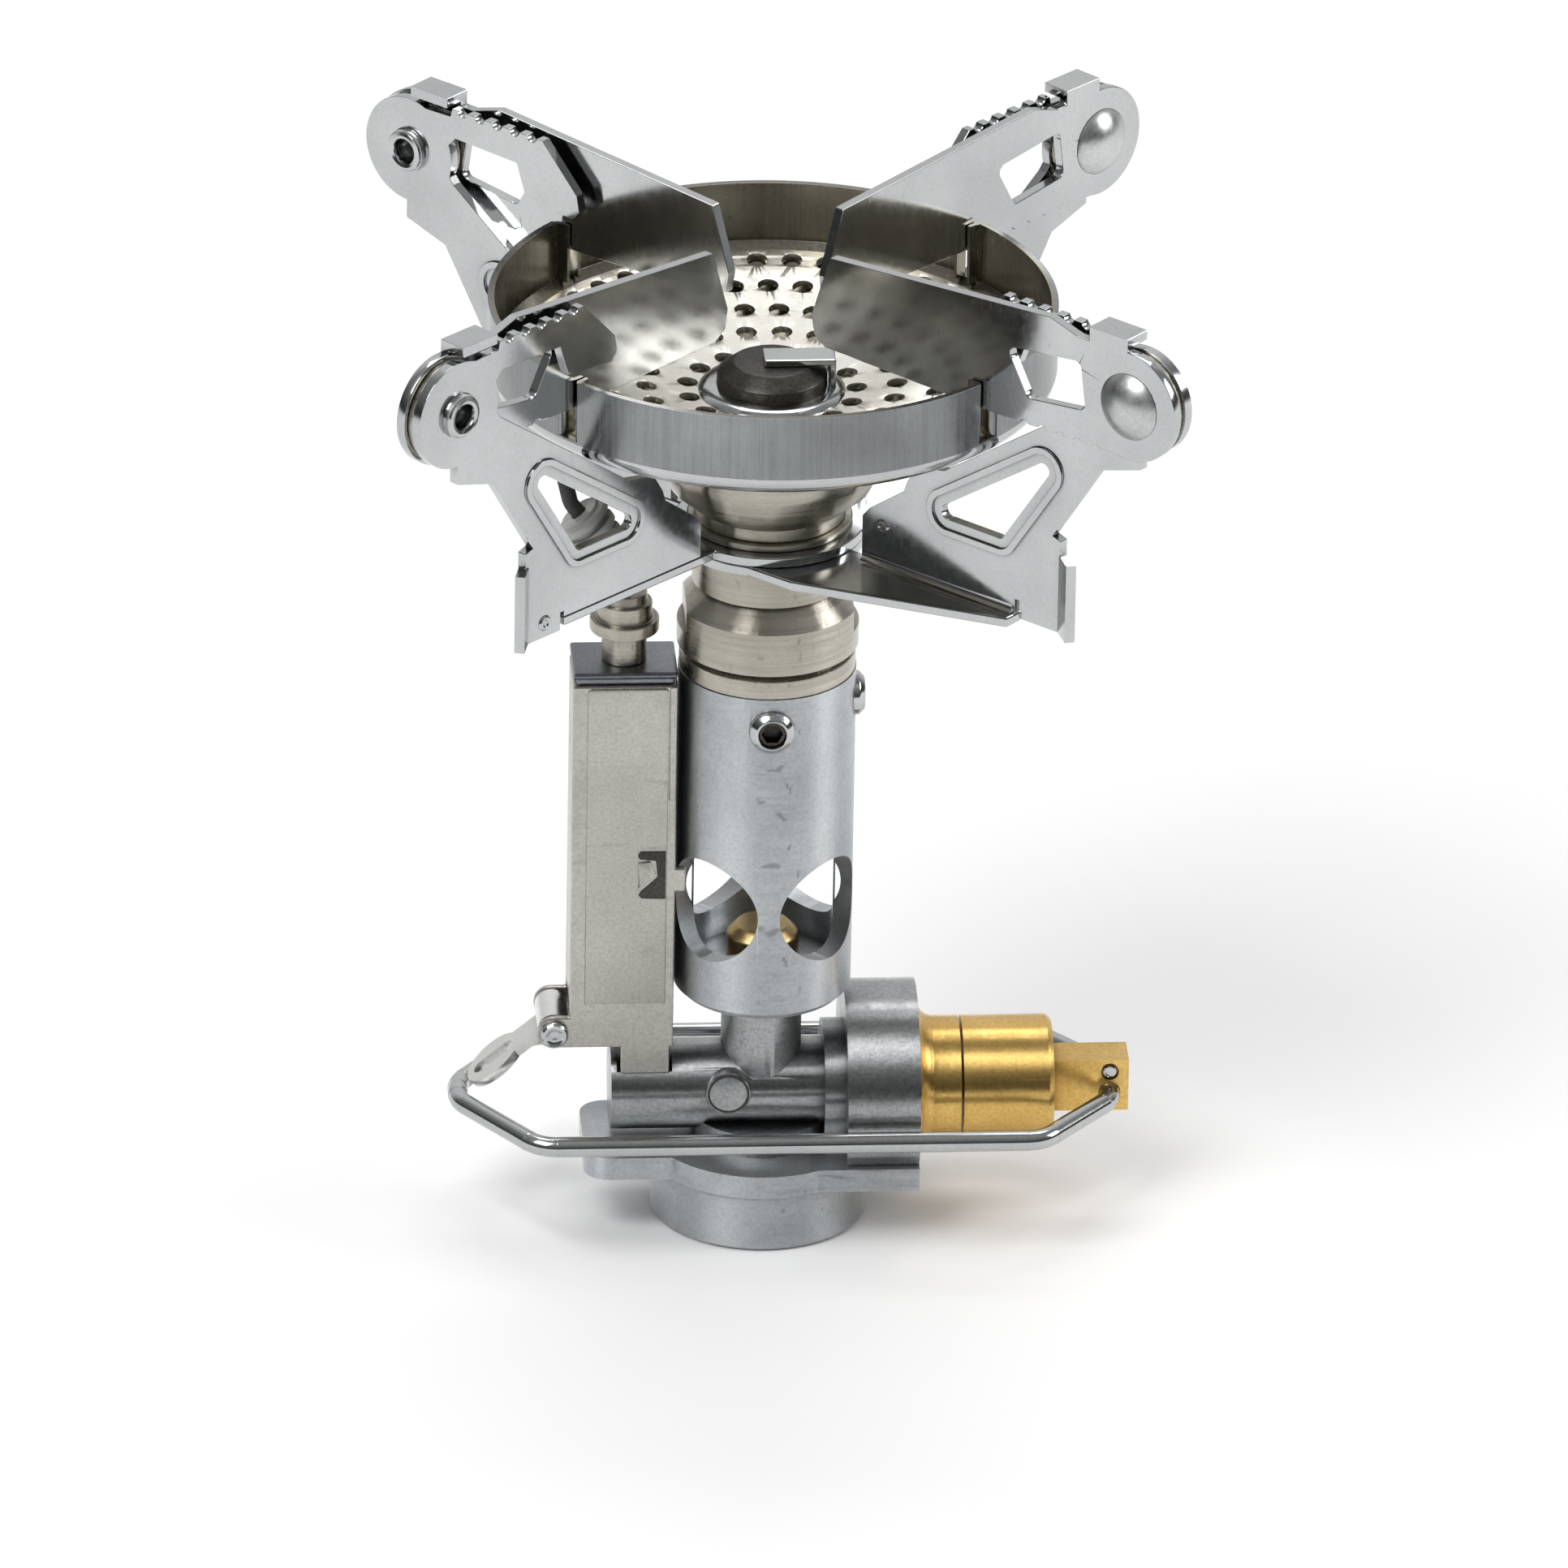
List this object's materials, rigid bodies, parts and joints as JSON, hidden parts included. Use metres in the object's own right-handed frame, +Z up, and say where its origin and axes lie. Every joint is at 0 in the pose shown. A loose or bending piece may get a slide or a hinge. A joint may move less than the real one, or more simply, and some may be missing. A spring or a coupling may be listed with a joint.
{
  "type": "portable gas stove",
  "caption": "Screw-on canister stove with a mixer tube, perforated burner, folding pot stand, piezo igniter and wire-handled valve.",
  "frame": {"origin": "centre of the connector's bottom face, at the mouth of the canister thread", "axes": "+Z up the mixer tube, +X along the valve spindle towards the knob"},
  "size_m": [0.0894, 0.0838, 0.1269],
  "materials": {
    "aluminium": "satin",
    "stainless": "polished",
    "nickel": "bright nickel",
    "case_steel": "brushed",
    "dark_steel": "dark satin",
    "brass": "plain",
    "gold_anodised": "gold anodised",
    "rubber": "matt",
    "plastic": "matt",
    "ceramic": "unglazed"
  },
  "bodies": {
    "stove": {"canister_connector": "aluminium", "connector_seal": "rubber", "valve_pin": "brass", "valve_body": "aluminium", "passage_plug": "aluminium", "gas_jet": "brass", "mixer_tube": "aluminium", "grub_screws": "dark_steel", "clamp_ring": "nickel", "burner_neck": "nickel", "lower_bracket": "stainless", "upper_bracket": "stainless", "upright_front_right": "stainless", "upright_back_right": "stainless", "upright_back_left": "stainless", "upright_front_left": "stainless", "bracket_washer": "nickel", "retaining_ring": "nickel", "burner_cup": "nickel", "burner_pan": "stainless", "flame_plate": "stainless", "centre_cap": "dark_steel", "spark_electrode": "stainless", "arm_rivets": "stainless", "arm_spacers": "nickel", "igniter_case": "case_steel", "igniter_cap": "dark_steel", "piezo_unit": "plastic", "lever_rivet": "stainless", "lead_bush": "nickel", "ignition_lead": "rubber", "lead_insulator": "ceramic", "bonnet_nut": "gold_anodised"},
    "arm_front_right": {"arm_front_right": "stainless"},
    "arm_back_right": {"arm_back_right": "stainless"},
    "arm_back_left": {"arm_back_left": "stainless"},
    "arm_front_left": {"arm_front_left": "stainless"},
    "knob": {"control_knob": "gold_anodised", "valve_spindle": "brass", "spindle_seal": "rubber", "tang_pin": "stainless"},
    "handle": {"wire_handle": "stainless"},
    "lever": {"igniter_lever": "stainless"},
    "plunger": {"piezo_plunger": "plastic"}
  },
  "joints": [
    {"name": "fold_front_right", "type": "hinge", "parent": "stove", "child": "arm_front_right", "pos_m": [0.03876, -0.03615, 0.1188], "axis": [0.682, 0.7314, 0], "range_deg": [0, 178]},
    {"name": "fold_back_right", "type": "hinge", "parent": "stove", "child": "arm_back_right", "pos_m": [0.03876, 0.03615, 0.1188], "axis": [-0.682, 0.7314, 0], "range_deg": [0, 178]},
    {"name": "fold_back_left", "type": "hinge", "parent": "stove", "child": "arm_back_left", "pos_m": [-0.03876, 0.03615, 0.1188], "axis": [-0.682, -0.7314, 0], "range_deg": [0, 178]},
    {"name": "fold_front_left", "type": "hinge", "parent": "stove", "child": "arm_front_left", "pos_m": [-0.03876, -0.03615, 0.1188], "axis": [0.682, -0.7314, 0], "range_deg": [0, 178]},
    {"name": "knob_turn", "type": "hinge", "parent": "stove", "child": "knob", "pos_m": [0.0284, 0, 0.0158], "axis": [1, 0, 0], "range_deg": [-12, 12]},
    {"name": "handle_swing", "type": "hinge", "parent": "knob", "child": "handle", "pos_m": [0.0404, 0, 0.0149], "axis": [0, -1, 0], "range_deg": [0, 175]},
    {"name": "igniter_press", "type": "hinge", "parent": "stove", "child": "lever", "pos_m": [-0.02415, 0, 0.0245], "axis": [0, -1, 0], "range_deg": [0, 19], "stiffness_Nm_per_rad": 0.3, "springref_deg": -5.73},
    {"name": "plunger_slide", "type": "slide", "parent": "stove", "child": "plunger", "axis": [0, 0, 1], "range_m": [0, 0.0024]}
  ],
  "couplings": [
    {"joint": "igniter_press", "follows": "plunger_slide", "rad_per_m": 130}
  ]
}
